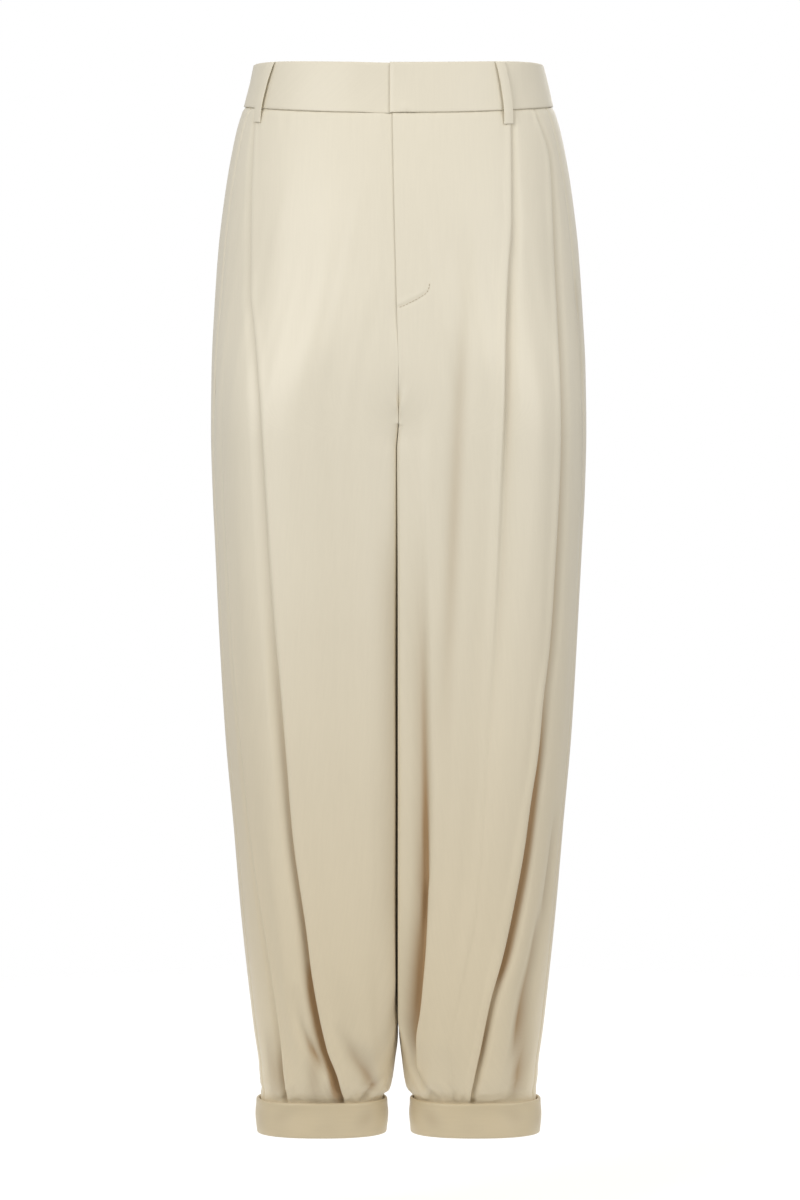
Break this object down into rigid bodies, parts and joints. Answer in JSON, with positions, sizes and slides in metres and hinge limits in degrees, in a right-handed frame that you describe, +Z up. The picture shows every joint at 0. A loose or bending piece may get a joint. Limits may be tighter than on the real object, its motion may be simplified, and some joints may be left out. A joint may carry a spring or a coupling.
{
  "type": "balloon trousers",
  "caption": "High-waisted balloon trousers in satin, with front pleats, lapped fly, belt loops and turned-up cuffs, filled out as worn, hollow and open at waist and hems.",
  "frame": {"origin": "middle of the waistband's hollow, halfway up the band at the side, where the wearer's waist holds the garment", "axes": "+Z up towards the waist opening, -Y the garment's front, +X the wearer's left"},
  "size_m": [0.357, 0.255, 1.0305],
  "materials": {
    "satin": "soft sheen satin, champagne",
    "pocketing": "plain matt lining cloth, champagne"
  },
  "bodies": {
    "root": {"front_left": "satin", "front_right": "satin", "back_left": "satin", "back_right": "satin", "waistband": "satin", "belt_loop_front_left": "satin", "belt_loop_front_right": "satin", "belt_loop_back_left": "satin", "belt_loop_back_right": "satin", "belt_loop_back_centre": "satin", "fly_facing": "pocketing", "pocket_left": "pocketing", "pocket_right": "pocketing", "cuff_left": "satin", "cuff_right": "satin"}
  },
  "joints": []
}
